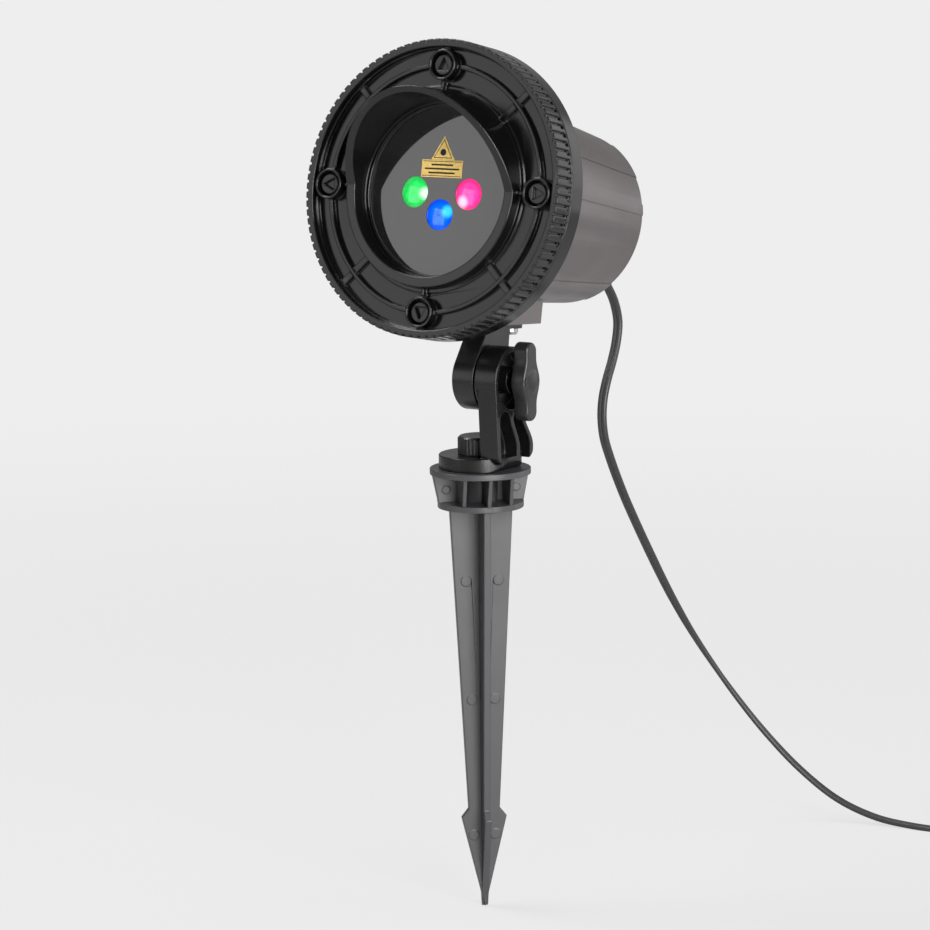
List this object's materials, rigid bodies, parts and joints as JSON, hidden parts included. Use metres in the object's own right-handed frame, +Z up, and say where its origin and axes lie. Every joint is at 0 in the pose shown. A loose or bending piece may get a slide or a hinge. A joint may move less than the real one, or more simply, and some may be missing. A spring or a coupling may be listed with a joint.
{
  "type": "light projector stake",
  "caption": "Garden light projector on a ground stake: round head with visor hood and coloured lenses, tilting bracket with wing knob, ribbed spike and low-voltage lead.",
  "frame": {"origin": "the tip of the ground stake", "axes": "+Z up along the stake, the light head faces -Y, the bracket's arm and wing knob are on +X"},
  "size_m": [0.2679, 0.3463, 0.3937],
  "materials": {
    "stake_plastic": "fine matte, grey",
    "bracket_plastic": "satin black",
    "knob_plastic": "satin black",
    "zinc_steel": "bright zinc",
    "housing_plastic": "satin warm grey",
    "seal_rubber": "matte",
    "bezel_plastic": "semi-gloss black",
    "window_acrylic": "polished smoke grey",
    "gold_foil": "satin gold foil",
    "green_lens": "clear dome",
    "blue_lens": "clear dome",
    "red_lens": "clear dome",
    "module_brass": "turned",
    "mount_aluminium": "milled",
    "board_laminate": "solder mask",
    "component_plastic": "moulded",
    "cord_pvc": "soft satin",
    "plug_metal": "nickel plated"
  },
  "bodies": {
    "stake": {"ground_stake": "stake_plastic", "stake_nut": "zinc_steel"},
    "bracket": {"tilt_bracket": "bracket_plastic", "pivot_washer": "zinc_steel", "cord_lead": "cord_pvc", "cord_coil": "cord_pvc", "cord_tie": "seal_rubber", "cord_tail": "cord_pvc", "plug_body": "cord_pvc", "plug_barrel": "plug_metal"},
    "thumb_screw": {"thumb_screw": "knob_plastic", "thumb_screw_stud": "zinc_steel"},
    "wing_knob": {"wing_knob": "knob_plastic", "wing_knob_stud": "zinc_steel"},
    "head": {"head_lug": "bracket_plastic", "lug_nut": "zinc_steel", "lug_screws": "zinc_steel", "rear_housing": "housing_plastic", "rear_collar": "bezel_plastic", "housing_seal": "seal_rubber", "front_bezel": "bezel_plastic", "bezel_screws": "zinc_steel", "screw_plugs": "bezel_plastic", "window": "window_acrylic", "window_gasket": "seal_rubber", "window_retainer": "bezel_plastic", "foil_sticker": "gold_foil", "lens_green": "green_lens", "lens_blue": "blue_lens", "lens_red": "red_lens", "laser_module_green": "module_brass", "laser_module_blue": "module_brass", "laser_module_red": "module_brass", "module_mount": "mount_aluminium", "module_mount_screws": "zinc_steel", "driver_board": "board_laminate", "board_components": "component_plastic", "board_screws": "zinc_steel", "inner_lead": "cord_pvc", "strain_relief": "cord_pvc"}
  },
  "joints": [
    {"name": "pan", "type": "hinge", "parent": "stake", "child": "bracket", "pos_m": [0, 0, 0.2023], "axis": [0, 0, 1], "range_deg": [-180, 180]},
    {"name": "thumb_turn", "type": "hinge", "parent": "stake", "child": "thumb_screw", "pos_m": [0, 0, 0.2083], "axis": [0, 0, 1], "continuous": true},
    {"name": "tilt", "type": "hinge", "parent": "bracket", "child": "head", "pos_m": [0, 0, 0.2425], "axis": [-1, 0, 0], "range_deg": [-75, 70], "deforming": ["cord_lead"]},
    {"name": "knob_turn", "type": "hinge", "parent": "bracket", "child": "wing_knob", "pos_m": [0.0202, 0, 0.2425], "axis": [1, 0, 0], "continuous": true}
  ]
}
